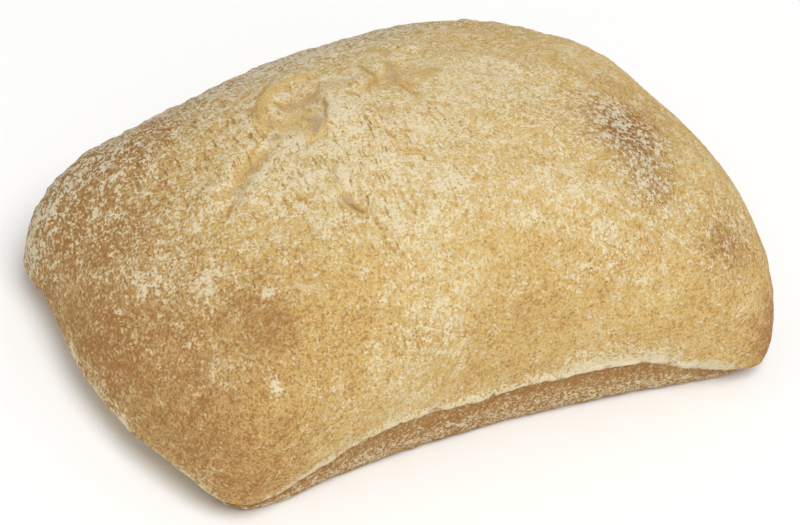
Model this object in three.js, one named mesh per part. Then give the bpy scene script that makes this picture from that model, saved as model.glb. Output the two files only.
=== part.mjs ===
// A ciabatta roll: one small loaf, baked as a pillow with four blunt corners.
// Its flat base rests on the table, a low band of lower crust rises from the base,
// and the domed upper crust overhangs that band in a thin lip.
// Millimetres, +Z up, +X along the loaf, +Y towards its back.
// The origin is on the base, under the loaf's middle.
import * as THREE from 'three';

// ---- Driving dimensions ----

const HALF_LENGTH = 57; // of the plan, before its sides and corners bulge
const HALF_WIDTH = 43.7;
const CROWN_HEIGHT = 43.4;

// Each side: how far its middle bulges (minus is pulled in), the heights of its widest line and of its lip,
// how far the lip lies inside the widest line, and how full the dome is above it (2 is an ellipse).
const SIDES = {
  front: { bulge: -11.2, girth: 15, lip: 11, tuck: 0.8, fullness: 1.96 },
  back: { bulge: 7.3, girth: 15.5, lip: 3.8, tuck: 2.6, fullness: 1.6 },
  left: { bulge: 5.7, girth: 7.6, lip: 5.4, tuck: 3, fullness: 2.13 },
  right: { bulge: 3, girth: 10.5, lip: 6.5, tuck: 8, fullness: 2.6 },
};

// Each corner: its reach past the rounded plan, and the heights of its widest line and its lip.
const CORNERS = {
  frontLeft: { reach: 6, girth: 5.9, lip: 4 },
  backLeft: { reach: 10.6, girth: 6.7, lip: 3 },
  frontRight: { reach: 4.8, girth: 4.2, lip: 3 },
  backRight: { reach: 5.5, girth: 3.4, lip: 2.4 },
};
const CORNER_TUCK = 0.6;
const CORNER_FULLNESS = 2.44;

// Squareness of the plan, as a superellipse's exponent: nearly round on top, squarer at the widest line.
const CROWN_SQUARENESS = 2.15;
const GIRTH_SQUARENESS = 3.16;
const LIP_SQUARENESS = 2.96;

// The dough was cut a little askew and settled unevenly.
const SKEW_X = 2.3; // the back is shifted along the loaf by this much
const SKEW_Y = -4.3; // the right end is shifted across it
const RIGHT_END_SPREAD = 0.13; // the right end is wider by this share
const CROWN_LEAN_X = 1; // the crown rises towards the right
const CROWN_LEAN_Y = -2.3; // and falls towards the back
const LEAN_STARTS = 12; // the height from which it leans

// The lip and the band of lower crust under it.
const LIP_OVERHANG = 0.95;
const LIP_THICKNESS = 0.8;
const LIP_FLARE = 0.55; // the lip turns out by this much at the middle of a side
const BAND_SLOPE = 0.49; // the band draws in by this share of its height
const BAND_INSET = { middle: 0.3, corner: 1 }; // and by this much more, at a side's middle and at a corner

// Mesh: cells from the crown's middle to the lip, the share of them above the widest line, the band's rows.
const CELLS = 30;
const DOME_SHARE = 0.86;
const BAND_ROWS = 4;
const SIDE_BLEND = 5; // how quickly one side gives way to the next at a corner
// The cells are closer together, by this share, about the place where the crust has burst.
const GATHERING = { share: 0.35, column: -0.12, row: 0.22 };

// Relief of the upper crust: places in plan, heights along the crust's normal.
// Round marks are hollows or bubbles with two half-widths, and turn sets the long one against +X.
const ROUND_MARKS = [
  { x: -13.6, y: 17.2, along: 7.2, across: 3.6, turn: 40, rise: -1.7 }, // floor of the first burst
  { x: 9.5, y: 16.8, along: 6, across: 3.2, turn: 18, rise: -1.3 }, // floor of the second burst
  { x: -2.2, y: 5.4, along: 3, across: 1.6, turn: -45, rise: -0.5 }, // dent in front of it
  { x: -19, y: -9.6, along: 2.7, across: 1.6, turn: -60, rise: -1.5 }, // deep pock
  { x: -18, y: -4, along: 4, across: 2.6, turn: -75, rise: 0.6 }, // bubble behind the pock
  { x: 35.4, y: -10.2, along: 6.5, across: 5, turn: 60, rise: 0.55 }, // browned blisters at the right
  { x: 31.8, y: -26.5, along: 4.5, across: 3.6, turn: 60, rise: 0.5 },
  { x: 40.3, y: -37.5, along: 5, across: 4, turn: 40, rise: 0.4 },
  { x: -43.2, y: -17.8, along: 8, across: 5, turn: 60, rise: 0.5 }, // browned blister at the left
];

// Long marks are rims, steps, folds and creases, each from one place past a bend to another.
// Each has its own half-width to the left and to the right of its run.
const LONG_MARKS = [
  // rim of the first burst, clockwise round it, and the step from its floor up to the crown
  { from: [-22, 13.4], bend: [-14.5, 30.5], to: [-1.4, 24.5], left: 3, right: 1.2, rise: 1 },
  { from: [-4.5, 21.5], bend: [-8, 12.5], to: [-15.9, 6], left: 5, right: 1, rise: 0.8 },
  // crease from the first burst to the left shoulder, with the folds behind it and in front of it
  { from: [-21, 12.4], bend: [-31.5, 8.5], to: [-37.1, 1.5], left: 1.4, right: 1.4, rise: -0.7 },
  { from: [-24, 14.5], bend: [-33, 11.5], to: [-39, 3.5], left: 1.3, right: 2.8, rise: 0.7 },
  { from: [-20.5, 9], bend: [-29.5, 6], to: [-34.5, 1.2], left: 2.8, right: 1.3, rise: 0.5 },
  // left and back rims of the second burst
  { from: [-3.4, 12.8], bend: [5.5, 16.5], to: [11.8, 28.4], left: 3, right: 1.2, rise: 1 },
  { from: [11.8, 28.4], bend: [20.5, 20], to: [17, 14.5], left: 2.6, right: 1.3, rise: 0.7 },
  // crack in front of the pock
  { from: [-18.8, -12.6], bend: [-18.4, -17], to: [-19.2, -20.3], left: 0.8, right: 0.8, rise: -0.4 },
  // shoulder where the crown turns down to the back
  { from: [19, 19], bend: [28, 12], to: [34, 1], left: 2.6, right: 2.6, rise: 0.5 },
];
const LONG_MARK_STEPS = 24; // straight pieces that a long mark's run is measured along
const LONG_MARK_TAPER = 0.2; // share of the run in which it rises from nothing at each end
const MARKS_FADE_FROM = 0.9; // from here to the lip the marks fade out

// The marks wander in plan, because the crust tore unevenly.
// Each wave has its rates, its phase and its shift.
const WANDER = {
  x: [
    { alongX: 0.55, alongY: 0.31, phase: 0.7, shift: 0.4 },
    { alongX: -0.62, alongY: 1.1, phase: 2.1, shift: 0.2 },
  ],
  y: [
    { alongX: -0.27, alongY: 0.58, phase: 4.2, shift: 0.4 },
    { alongX: 1.1, alongY: 0.71, phase: 5.3, shift: 0.2 },
  ],
};

// Broad unevenness: waves through space that point all ways, from the longest to the shortest.
const SWELLS = { count: 12, longest: 38, shortest: 9, steepness: 0.0042, turn: 2.39996, phaseStep: 2.3 };
const SWELLS_FADE_FROM = 0.55; // from here to the lip the waves fade out

// The lip wanders up and down as it goes round, by waves counted round the loaf.
const LIP_WAVES = [
  { count: 9, rise: 0.35, phase: 0.6 },
  { count: 17, rise: 0.22, phase: 2.2 },
  { count: 31, rise: 0.15, phase: 4 },
];

// ---- Small helpers ----

const clamp01 = (v) => Math.min(1, Math.max(0, v));
const smooth = (v) => clamp01(v) ** 2 * (3 - 2 * clamp01(v));
const mix = (a, b, share) => a + (b - a) * share;
const radians = THREE.MathUtils.degToRad;

// ---- The plain form ----

/** How a direction of the plan shares out among the sides and the corners. */
function outlook(dx, dy) {
  const along = Math.abs(dx) ** SIDE_BLEND;
  const across = Math.abs(dy) ** SIDE_BLEND;
  const endShare = along / (along + across);
  return {
    endShare,
    cornerShare: 4 * endShare * (1 - endShare),
    end: dx < 0 ? SIDES.left : SIDES.right,
    flank: dy < 0 ? SIDES.front : SIDES.back,
    corner: CORNERS[(dy < 0 ? 'front' : 'back') + (dx < 0 ? 'Left' : 'Right')],
  };
}

/** A size of the loaf in that direction, from the sides' values and the corner's. */
function sizeTowards(view, name, cornerValue) {
  const side = mix(view.flank[name], view.end[name], view.endShare);
  return mix(side, cornerValue, view.cornerShare);
}

/** Plan and height of a point, from its place in a unit plan, with the bulges, the skew and the lean. */
function settle(px, py, z) {
  const frontness = Math.max(0, -py) ** 2;
  const backness = Math.max(0, py) ** 2;
  const leftness = Math.max(0, -px) ** 2;
  const rightness = Math.max(0, px) ** 2;
  const midLength = 1 - clamp01(Math.abs(px)) ** 2;
  const midWidth = 1 - clamp01(Math.abs(py)) ** 2;
  const ends = SIDES.right.bulge * rightness - SIDES.left.bulge * leftness;
  const flanks = SIDES.back.bulge * backness - SIDES.front.bulge * frontness;
  const lean = clamp01((z - LEAN_STARTS) / (CROWN_HEIGHT - LEAN_STARTS));
  return new THREE.Vector3(
    HALF_LENGTH * px + SKEW_X * py + ends * midWidth,
    HALF_WIDTH * py * (1 + RIGHT_END_SPREAD * px) + SKEW_Y * px + flanks * midLength,
    z + lean * (CROWN_LEAN_X * px + CROWN_LEAN_Y * py),
  );
}

/** The height of the lip towards a direction, as it wanders round the loaf. */
function lipHeight(view, dx, dy) {
  const angle = Math.atan2(dy, dx);
  const level = sizeTowards(view, 'lip', view.corner.lip);
  const wander = LIP_WAVES.reduce((sum, w) => sum + w.rise * Math.sin(w.count * angle + w.phase), 0);
  return level + wander * clamp01(level / SIDES.front.lip);
}

/**
 * The upper crust without relief. (s, t) runs over a square whose middle is the crown and whose edge is
 * the lip.
 * Returns the point in place and what the band below needs to carry on from the lip.
 */
function upperCrust(s, t) {
  const ring = Math.max(Math.abs(s), Math.abs(t));
  const [dx, dy] = ring > 0 ? [s / ring, t / ring] : [1, 0];
  const view = outlook(dx, dy);
  const upTo = clamp01(ring / DOME_SHARE);
  const below = clamp01((ring - DOME_SHARE) / (1 - DOME_SHARE));

  const squareness =
    mix(CROWN_SQUARENESS, GIRTH_SQUARENESS, smooth(upTo)) + (LIP_SQUARENESS - GIRTH_SQUARENESS) * below;
  const toOutline = (Math.abs(dx) ** squareness + Math.abs(dy) ** squareness) ** (-1 / squareness);

  const lip = lipHeight(view, dx, dy);
  const girth = Math.max(sizeTowards(view, 'girth', view.corner.girth), lip + 1);
  const flare = LIP_FLARE * (1 - view.cornerShare) * smooth(2 * below - 1);
  const tuck = sizeTowards(view, 'tuck', CORNER_TUCK) - flare;
  const fullness = mix(2, sizeTowards(view, 'fullness', CORNER_FULLNESS), smooth(upTo));

  const climb = (upTo * Math.PI) / 2;
  const turn = (below * Math.PI) / 2;
  let reach = Math.sin(climb) ** (2 / fullness) - (tuck / HALF_LENGTH) * (1 - Math.cos(turn));
  reach *= 1 + view.cornerShare * (view.corner.reach / HALF_LENGTH) * reach ** 3;
  const height =
    below > 0
      ? mix(girth, lip, Math.sin(turn))
      : mix(girth, CROWN_HEIGHT, Math.max(0, Math.cos(climb)) ** (2 / fullness));
  const place = { ux: dx * toOutline, uy: dy * toOutline, reach, lip };
  return { point: settle(place.ux * reach, place.uy * reach, height), place, ring };
}

/** A point of the band: depth 0 is its root under the lip and 1 the edge of the base. */
function bandPoint(place, depth) {
  const turn = (depth * Math.PI) / 2;
  const { cornerShare } = outlook(place.ux, place.uy);
  const inset = mix(BAND_INSET.middle, BAND_INSET.corner, cornerShare) + BAND_SLOPE * place.lip;
  const reach = place.reach - (LIP_OVERHANG + inset * (1 - Math.cos(turn))) / HALF_LENGTH;
  const top = Math.max(place.lip - LIP_THICKNESS, place.lip / 2);
  return settle(place.ux * reach, place.uy * reach, top * (1 - Math.sin(turn)));
}

// ---- Relief ----

/** A hollow or a bubble. */
function roundMarkAt(x, y, mark) {
  const turn = radians(mark.turn);
  const along = ((x - mark.x) * Math.cos(turn) + (y - mark.y) * Math.sin(turn)) / mark.along;
  const across = ((y - mark.y) * Math.cos(turn) - (x - mark.x) * Math.sin(turn)) / mark.across;
  return mark.rise * Math.exp(-(along ** 2 + across ** 2));
}

const LONG_RUNS = LONG_MARKS.map((mark) => {
  const [from, bend, to] = [mark.from, mark.bend, mark.to].map(([x, y]) => new THREE.Vector2(x, y));
  return new THREE.QuadraticBezierCurve(from, bend, to).getPoints(LONG_MARK_STEPS);
});

/** The nearest place on a run: how far off it is, on which side, and the share of the run before it. */
function nearestOn(run, x, y) {
  const nearest = { gap: Infinity, side: 1, share: 0 };
  for (let i = 1; i < run.length; i += 1) {
    const [fromX, fromY] = [run[i - 1].x, run[i - 1].y];
    const [pieceX, pieceY] = [run[i].x - fromX, run[i].y - fromY];
    const length2 = pieceX ** 2 + pieceY ** 2;
    const share = clamp01(((x - fromX) * pieceX + (y - fromY) * pieceY) / length2);
    const [offX, offY] = [x - fromX - share * pieceX, y - fromY - share * pieceY];
    const gap = Math.hypot(offX, offY);
    if (gap < nearest.gap) {
      nearest.gap = gap;
      nearest.side = Math.sign(pieceX * offY - pieceY * offX);
      nearest.share = (i - 1 + share) / (run.length - 1);
    }
  }
  return nearest;
}

/** A rim, a step or a crease. */
function longMarkAt(x, y, mark, run) {
  const { gap, side, share } = nearestOn(run, x, y);
  const width = side > 0 ? mark.left : mark.right;
  const taper = smooth(Math.min(share, 1 - share) / LONG_MARK_TAPER);
  return mark.rise * taper * Math.exp(-((gap / width) ** 2));
}

/** How far the marks are shifted in plan by one set of waves. */
function wanderOf(waves, x, y) {
  return waves.reduce((sum, w) => sum + w.shift * Math.sin(w.alongX * x + w.alongY * y + w.phase), 0);
}

/** One broad wave through space: its direction and rate, its height and its phase. */
function swell(index) {
  const share = index / (SWELLS.count - 1);
  const wavelength = SWELLS.longest * (SWELLS.shortest / SWELLS.longest) ** share;
  const upwards = ((index * 2 * 0.618034 + 0.3) % 2) - 1;
  const level = Math.sqrt(1 - upwards ** 2);
  const heading = index * SWELLS.turn;
  const rate = new THREE.Vector3(level * Math.cos(heading), level * Math.sin(heading), upwards);
  rate.multiplyScalar((2 * Math.PI) / wavelength);
  return { rate, rise: SWELLS.steepness * wavelength, phase: index * SWELLS.phaseStep };
}

const SWELL_WAVES = [...Array(SWELLS.count).keys()].map(swell);

/** The height of the relief at a point of the plain crust, in millimetres. */
function reliefAt(point, ring) {
  const x = point.x + wanderOf(WANDER.x, point.x, point.y);
  const y = point.y + wanderOf(WANDER.y, point.x, point.y);
  const rounds = ROUND_MARKS.reduce((sum, mark) => sum + roundMarkAt(x, y, mark), 0);
  const longs = LONG_MARKS.reduce((sum, mark, i) => sum + longMarkAt(x, y, mark, LONG_RUNS[i]), 0);
  const swells = SWELL_WAVES.reduce((sum, w) => sum + w.rise * Math.sin(w.rate.dot(point) + w.phase), 0);
  const marksFade = 1 - smooth((ring - MARKS_FADE_FROM) / (1 - MARKS_FADE_FROM));
  const swellsFade = 1 - smooth((ring - SWELLS_FADE_FROM) / (1 - SWELLS_FADE_FROM));
  return marksFade * (rounds + longs) + swellsFade * swells;
}

/** The normal of the plain upper crust, from small steps along the square. */
function crustNormal(s, t) {
  const step = 1e-3;
  const inward = (v) => Math.min(1 - step, Math.max(step - 1, v));
  const [cs, ct] = [inward(s), inward(t)];
  const alongS = upperCrust(cs + step, ct).point.sub(upperCrust(cs - step, ct).point);
  const alongT = upperCrust(cs, ct + step).point.sub(upperCrust(cs, ct - step).point);
  return alongS.cross(alongT).normalize();
}

// ---- The mesh ----

/** The square's stops along one way, from -1 to 1, closer together about a place. */
function gridStops(place) {
  const { share } = GATHERING;
  return [...Array(2 * CELLS + 1).keys()].map((i) => {
    const even = i / CELLS - 1;
    return even - (share / Math.PI) * (Math.sin(Math.PI * (even - place)) - Math.sin(Math.PI * place));
  });
}

/** The stops of the square's edge, counter-clockwise from above, as grid columns and rows. */
function edgeStops() {
  const last = 2 * CELLS;
  const run = [...Array(last).keys()];
  return [
    ...run.map((i) => [i, 0]),
    ...run.map((i) => [last, i]),
    ...run.map((i) => [last - i, last]),
    ...run.map((i) => [0, last - i]),
  ];
}

/** The middle of a set of points' box, in plan. */
function planMiddle(points) {
  const middle = new THREE.Box3().setFromPoints(points).getCenter(new THREE.Vector3());
  return middle.setZ(0);
}

/** The upper crust's points, row by row, with what each needs to be carved and to carry on below. */
function crustGrid() {
  const columns = gridStops(GATHERING.column);
  const rows = gridStops(GATHERING.row);
  columns[0] = rows[0] = -1;
  columns[2 * CELLS] = rows[2 * CELLS] = 1;
  return rows.flatMap((t) => columns.map((s) => ({ s, t, ...upperCrust(s, t) })));
}

/** The whole loaf as one closed surface: the upper crust, the lip's underside, the band and the base. */
function loafGeometry() {
  const across = 2 * CELLS + 1;
  const crust = crustGrid();
  const middle = planMiddle(crust.map((c) => c.point));
  const points = crust.map((c) => {
    const point = c.point.clone().sub(middle);
    return point.addScaledVector(crustNormal(c.s, c.t), reliefAt(point, c.ring));
  });

  const faces = [];
  for (let row = 0; row + 1 < across; row += 1) {
    for (let column = 0; column + 1 < across; column += 1) {
      const a = row * across + column;
      const [b, c, d] = [a + 1, a + across + 1, a + across];
      faces.push([a, b, c], [a, c, d]);
    }
  }

  let above = edgeStops().map(([column, row]) => row * across + column);
  const lipPlaces = above.map((index) => crust[index].place);
  for (let row = 0; row <= BAND_ROWS; row += 1) {
    const below = lipPlaces.map((place) => points.push(bandPoint(place, row / BAND_ROWS).sub(middle)) - 1);
    for (let i = 0; i < below.length; i += 1) {
      const next = (i + 1) % below.length;
      faces.push([above[i], below[i], below[next]], [above[i], below[next], above[next]]);
    }
    above = below;
  }

  const baseMiddle = points.push(new THREE.Vector3(0, 0, 0)) - 1;
  above.forEach((index, i) => faces.push([index, baseMiddle, above[(i + 1) % above.length]]));

  const geometry = new THREE.BufferGeometry().setFromPoints(points);
  geometry.setIndex(faces.flat());
  geometry.computeVertexNormals();
  return geometry;
}

const bakedCrust = new THREE.MeshStandardMaterial({ color: 0xd2ab68, roughness: 0.9, metalness: 0 });

const ciabatta = new THREE.Mesh(loafGeometry(), bakedCrust);
ciabatta.name = 'ciabatta';

const model = new THREE.Group();
model.add(ciabatta);

export default model;
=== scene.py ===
"""A ciabatta loaf: a pillow of dough with a floured, blistered crust, a torn lip and a lower band."""

import logging
import math
from dataclasses import dataclass, field, fields
from enum import Enum, IntEnum
from itertools import product

import bpy
import numpy as np
from mathutils import Matrix, Vector


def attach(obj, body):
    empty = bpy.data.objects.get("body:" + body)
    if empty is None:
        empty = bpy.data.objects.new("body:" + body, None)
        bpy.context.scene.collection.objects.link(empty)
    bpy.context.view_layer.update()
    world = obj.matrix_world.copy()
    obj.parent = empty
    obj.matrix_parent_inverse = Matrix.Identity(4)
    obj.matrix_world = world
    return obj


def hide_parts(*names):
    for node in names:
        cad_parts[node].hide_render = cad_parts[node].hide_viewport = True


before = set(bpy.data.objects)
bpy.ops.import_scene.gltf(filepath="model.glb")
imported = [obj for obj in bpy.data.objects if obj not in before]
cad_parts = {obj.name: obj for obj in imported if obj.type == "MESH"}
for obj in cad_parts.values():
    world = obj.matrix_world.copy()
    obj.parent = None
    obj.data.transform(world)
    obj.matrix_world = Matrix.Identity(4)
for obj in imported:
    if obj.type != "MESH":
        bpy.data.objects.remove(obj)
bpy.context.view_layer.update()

LOG = logging.getLogger("ciabatta")
MM = 0.001  # metres in a millimetre
GOLDEN_TURN = 2.39996  # a turn in radians that never comes round to the same heading
GOLDEN_SHARE = 0.618034  # the same for shares of a length
HASH_FACTORS = (374761393, 668265263, 2246822519)  # a large odd number for each axis, to scatter lumps
HASH_SEED = 3266489917
HASH_STIR = 1274126177
LOW_32_BITS = 0xFFFFFFFF
LOW_16_BITS = 0xFFFF
SCREEN_FULL = 255  # the brightest screen value, and the curve from screen values to light
SCREEN_LIFT = 0.055
SCREEN_CURVE = 2.4

Array = np.ndarray
Triple = tuple[float, float, float]
Colour = Triple
Place = tuple[float, float]
Socket = bpy.types.NodeSocket
Recipe = tuple[tuple[str, float], ...]


# ---- Small helpers ----


class Seed(IntEnum):
    """Which set of random lumps each part of the crust takes."""

    LUMPS = 11
    GRIT = 23
    RAGGED = 41
    NOTCHES = 57
    BACK = 61
    ROLL = 73
    TEARS = 91
    FRAYED_X = 131
    FRAYED_Y = 137


def smooth(value: Array) -> Array:
    """Eases a value from 0 to 1.

    Args:
        value: any numbers; those outside 0 to 1 are held at its ends.

    Returns:
        The eased numbers, flat at both ends.
    """
    held = np.clip(value, 0, 1)
    return held * held * (3 - 2 * held)


def mix(low: Array | float, high: Array | float, share: Array) -> Array:
    """Goes a share of the way from low to high."""
    return low + (high - low) * share


def ease_in(value: Array, start: Array | float, full: Array | float) -> Array:
    """Goes smoothly from 0 at the start to 1 where it is full.

    Args:
        value: any numbers.
        start: the number at which it starts.
        full: the number at which it is full, above or below the start.

    Returns:
        A number from 0 to 1 for each value.
    """
    return smooth((value - start) / (full - start))


def lattice_noise(points: Array, size: float, seed: int) -> Array:
    """Smooth random lumps through space.

    Args:
        points: places in millimetres, three numbers each.
        size: how far apart the lumps are, in millimetres.
        seed: which set of lumps.

    Returns:
        A number from -1 to 1 for each point.
    """
    cell = points / size
    corner = np.floor(cell).astype(np.int64)
    near = smooth(cell - corner)
    total = np.zeros(points.shape[:-1])
    for offset in product((0, 1), repeat=3):
        mixed = (((corner + offset) * HASH_FACTORS).sum(-1) + seed * HASH_SEED) & LOW_32_BITS
        mixed = ((mixed ^ (mixed >> 13)) * HASH_STIR) & LOW_32_BITS
        mixed = (mixed ^ (mixed >> 16)) & LOW_16_BITS
        share = np.where(offset, near, 1 - near).prod(-1)
        total += share * (2 * mixed / LOW_16_BITS - 1)
    return total


def crumpled_noise(points: Array, size: float, seed: int, octaves: int = 3) -> Array:
    """Lumps with smaller lumps on them.

    Args:
        points: places in millimetres.
        size: how far apart the largest lumps are.
        seed: which set of lumps.
        octaves: how many sizes of lump, each half the one before.

    Returns:
        A number of about -1 to 1 for each point.
    """
    total = np.zeros(points.shape[:-1])
    for octave in range(octaves):
        total += lattice_noise(points, size / 2**octave, seed + octave) / 2**octave
    return total / (2 - 2 ** (1 - octaves))


def linear(*screen: int) -> Colour:
    """A colour named by its screen values, which are well above black, as the light it sends back."""
    lifted = ((value / SCREEN_FULL + SCREEN_LIFT) / (1 + SCREEN_LIFT) for value in screen)
    return tuple(share**SCREEN_CURVE for share in lifted)


# ---- The loaf's plain form ----


class Flank(Enum):
    """The loaf's four sides."""

    FRONT = "front"
    BACK = "back"
    LEFT = "left"
    RIGHT = "right"


class Corner(Enum):
    """The loaf's four corners, each with the signs of X and Y there."""

    FRONT_LEFT = (-1, -1)
    BACK_LEFT = (-1, 1)
    FRONT_RIGHT = (1, -1)
    BACK_RIGHT = (1, 1)


@dataclass(frozen=True)
class FlankForm:
    """One side: its bulge, widest line, lip height, tuck under, and the fullness of the dome above it."""

    bulge: float
    girth: float
    lip: float
    tuck: float
    fullness: float


@dataclass(frozen=True)
class CornerForm:
    """One corner: its reach past the rounded plan, its widest line and its lip height."""

    reach: float
    girth: float
    lip: float


@dataclass
class CrustPoints:
    """Points of the plain upper crust, and what the band needs to carry on from them.

    Points are in millimetres. unit_x and unit_y give the direction from the middle, reach how far out,
    lip the height of the lip there, and ring the share of the way to the lip.
    """

    points: Array
    unit_x: Array
    unit_y: Array
    reach: Array
    lip: Array
    ring: Array

    def only(self, numbers: Array) -> "CrustPoints":
        """The same for the points with those numbers alone."""
        return CrustPoints(*(getattr(self, part.name)[numbers] for part in fields(self)))


@dataclass
class LoafForm:
    """The plain form of the loaf, in millimetres, before any mark of the crust.

    Each of the lip's waves has how often it comes round the loaf, its rise and its phase.
    """

    half_length: float = 57.0
    half_width: float = 43.7
    crown_height: float = 43.4
    flanks: dict[Flank, FlankForm] = field(
        default_factory=lambda: {
            Flank.FRONT: FlankForm(-11.2, 15, 11, 0.8, 1.96),
            Flank.BACK: FlankForm(7.3, 15.5, 3.8, 2.6, 1.6),
            Flank.LEFT: FlankForm(5.7, 7.6, 5.4, 3, 2.13),
            Flank.RIGHT: FlankForm(3, 10.5, 6.5, 8, 2.6),
        }
    )
    corners: dict[Corner, CornerForm] = field(
        default_factory=lambda: {
            Corner.FRONT_LEFT: CornerForm(6, 5.9, 4),
            Corner.BACK_LEFT: CornerForm(10.6, 6.7, 3),
            Corner.FRONT_RIGHT: CornerForm(4.8, 4.2, 3),
            Corner.BACK_RIGHT: CornerForm(5.5, 3.4, 2.4),
        }
    )
    corner_tuck: float = 0.6
    corner_fullness: float = 2.44
    crown_squareness: float = 2.15
    girth_squareness: float = 3.16
    lip_squareness: float = 2.96
    skew_x: float = 2.3
    skew_y: float = -4.3
    right_end_spread: float = 0.13
    crown_lean_x: float = 1.0
    crown_lean_y: float = -2.3
    lean_starts: float = 12.0
    lip_overhang: float = 0.95
    lip_thickness: float = 0.8
    lip_flare: float = 0.55
    band_slope: float = 0.49
    band_inset_middle: float = 0.3
    band_inset_corner: float = 1.0
    dome_share: float = 0.86
    side_blend: float = 5.0
    least_side: float = 1.0
    lip_waves: tuple[tuple[int, float, float], ...] = ((9, 0.35, 0.6), (17, 0.22, 2.2), (31, 0.15, 4.0))

    def outlook(self, dx: Array, dy: Array) -> tuple[Array, Array]:
        """How a direction shares out among the sides and corners.

        Args:
            dx: the direction's X.
            dy: the direction's Y.

        Returns:
            The share of the end sides against the long sides, and the share of the corner.
        """
        along = np.abs(dx) ** self.side_blend
        across = np.abs(dy) ** self.side_blend
        end_share = along / (along + across)
        return end_share, 4 * end_share * (1 - end_share)

    def at_corner(self, name: str, dx: Array, dy: Array) -> Array:
        """The nearest corner's size of that name.

        Args:
            name: the size's name in CornerForm.
            dx: the direction's X.
            dy: the direction's Y.

        Returns:
            The size for each direction.
        """
        value = {corner: getattr(form, name) for corner, form in self.corners.items()}
        front = np.where(dx < 0, value[Corner.FRONT_LEFT], value[Corner.FRONT_RIGHT])
        back = np.where(dx < 0, value[Corner.BACK_LEFT], value[Corner.BACK_RIGHT])
        return np.where(dy < 0, front, back)

    def towards(self, name: str, at_corner: Array | float, dx: Array, dy: Array) -> Array:
        """A size of the loaf towards a direction.

        Args:
            name: the size's name in FlankForm.
            at_corner: its value at the corners.
            dx: the direction's X.
            dy: the direction's Y.

        Returns:
            The size, which goes smoothly from side to corner to side.
        """
        value = {flank: getattr(form, name) for flank, form in self.flanks.items()}
        end_share, corner_share = self.outlook(dx, dy)
        long_side = np.where(dy < 0, value[Flank.FRONT], value[Flank.BACK])
        end_side = np.where(dx < 0, value[Flank.LEFT], value[Flank.RIGHT])
        return mix(mix(long_side, end_side, end_share), at_corner, corner_share)

    def settle(self, px: Array, py: Array, height: Array) -> Array:
        """Puts a point of the unit plan in place, with the bulges, the skew and the lean.

        Args:
            px: the point's X in the unit plan.
            py: the point's Y in the unit plan.
            height: its height in millimetres.

        Returns:
            The points in millimetres.
        """
        bulge = {flank: form.bulge for flank, form in self.flanks.items()}
        ends = bulge[Flank.RIGHT] * np.maximum(0, px) ** 2 - bulge[Flank.LEFT] * np.maximum(0, -px) ** 2
        longs = bulge[Flank.BACK] * np.maximum(0, py) ** 2 - bulge[Flank.FRONT] * np.maximum(0, -py) ** 2
        mid_length = 1 - np.clip(np.abs(px), 0, 1) ** 2
        mid_width = 1 - np.clip(np.abs(py), 0, 1) ** 2
        lean = np.clip((height - self.lean_starts) / (self.crown_height - self.lean_starts), 0, 1)
        x = self.half_length * px + self.skew_x * py + ends * mid_width
        y = self.half_width * py * (1 + self.right_end_spread * px) + self.skew_y * px + longs * mid_length
        z = height + lean * (self.crown_lean_x * px + self.crown_lean_y * py)
        return np.stack([x, y, z], -1)

    def lip_height(self, dx: Array, dy: Array) -> Array:
        """The lip's height towards a direction, as it wanders round the loaf.

        Args:
            dx: the direction's X.
            dy: the direction's Y.

        Returns:
            The height in millimetres.
        """
        angle = np.arctan2(dy, dx)
        level = self.towards("lip", self.at_corner("lip", dx, dy), dx, dy)
        wander = sum(rise * np.sin(count * angle + phase) for count, rise, phase in self.lip_waves)
        return level + wander * np.clip(level / self.flanks[Flank.FRONT].lip, 0, 1)

    def upper_crust(self, s: Array, t: Array) -> CrustPoints:
        """The plain upper crust over a square whose middle is the crown and whose edge is the lip.

        Args:
            s: places along the square, -1 to 1.
            t: places across the square, -1 to 1.

        Returns:
            The crust's points there.
        """
        ring = np.maximum(np.abs(s), np.abs(t))
        off_middle = ring > 0
        safe = np.where(off_middle, ring, 1)
        dx, dy = np.where(off_middle, s / safe, 1.0), np.where(off_middle, t / safe, 0.0)
        up_to = np.clip(ring / self.dome_share, 0, 1)
        below = np.clip((ring - self.dome_share) / (1 - self.dome_share), 0, 1)
        _, corner_share = self.outlook(dx, dy)

        squareness = mix(self.crown_squareness, self.girth_squareness, smooth(up_to))
        squareness = squareness + (self.lip_squareness - self.girth_squareness) * below
        to_outline = (np.abs(dx) ** squareness + np.abs(dy) ** squareness) ** (-1 / squareness)

        lip = self.lip_height(dx, dy)
        girth = self.towards("girth", self.at_corner("girth", dx, dy), dx, dy)
        girth = np.maximum(girth, lip + self.least_side)
        flare = self.lip_flare * (1 - corner_share) * smooth(2 * below - 1)
        tuck = self.towards("tuck", self.corner_tuck, dx, dy) - flare
        fullness = mix(2, self.towards("fullness", self.corner_fullness, dx, dy), smooth(up_to))

        climb, turn = up_to * math.pi / 2, below * math.pi / 2
        reach = np.sin(climb) ** (2 / fullness) - tuck / self.half_length * (1 - np.cos(turn))
        reach = reach * (1 + corner_share * self.at_corner("reach", dx, dy) / self.half_length * reach**3)
        dome = mix(girth, self.crown_height, np.maximum(0, np.cos(climb)) ** (2 / fullness))
        height = np.where(below > 0, mix(girth, lip, np.sin(turn)), dome)
        unit_x, unit_y = dx * to_outline, dy * to_outline
        points = self.settle(unit_x * reach, unit_y * reach, height)
        return CrustPoints(points, unit_x, unit_y, reach, lip, ring)

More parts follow.
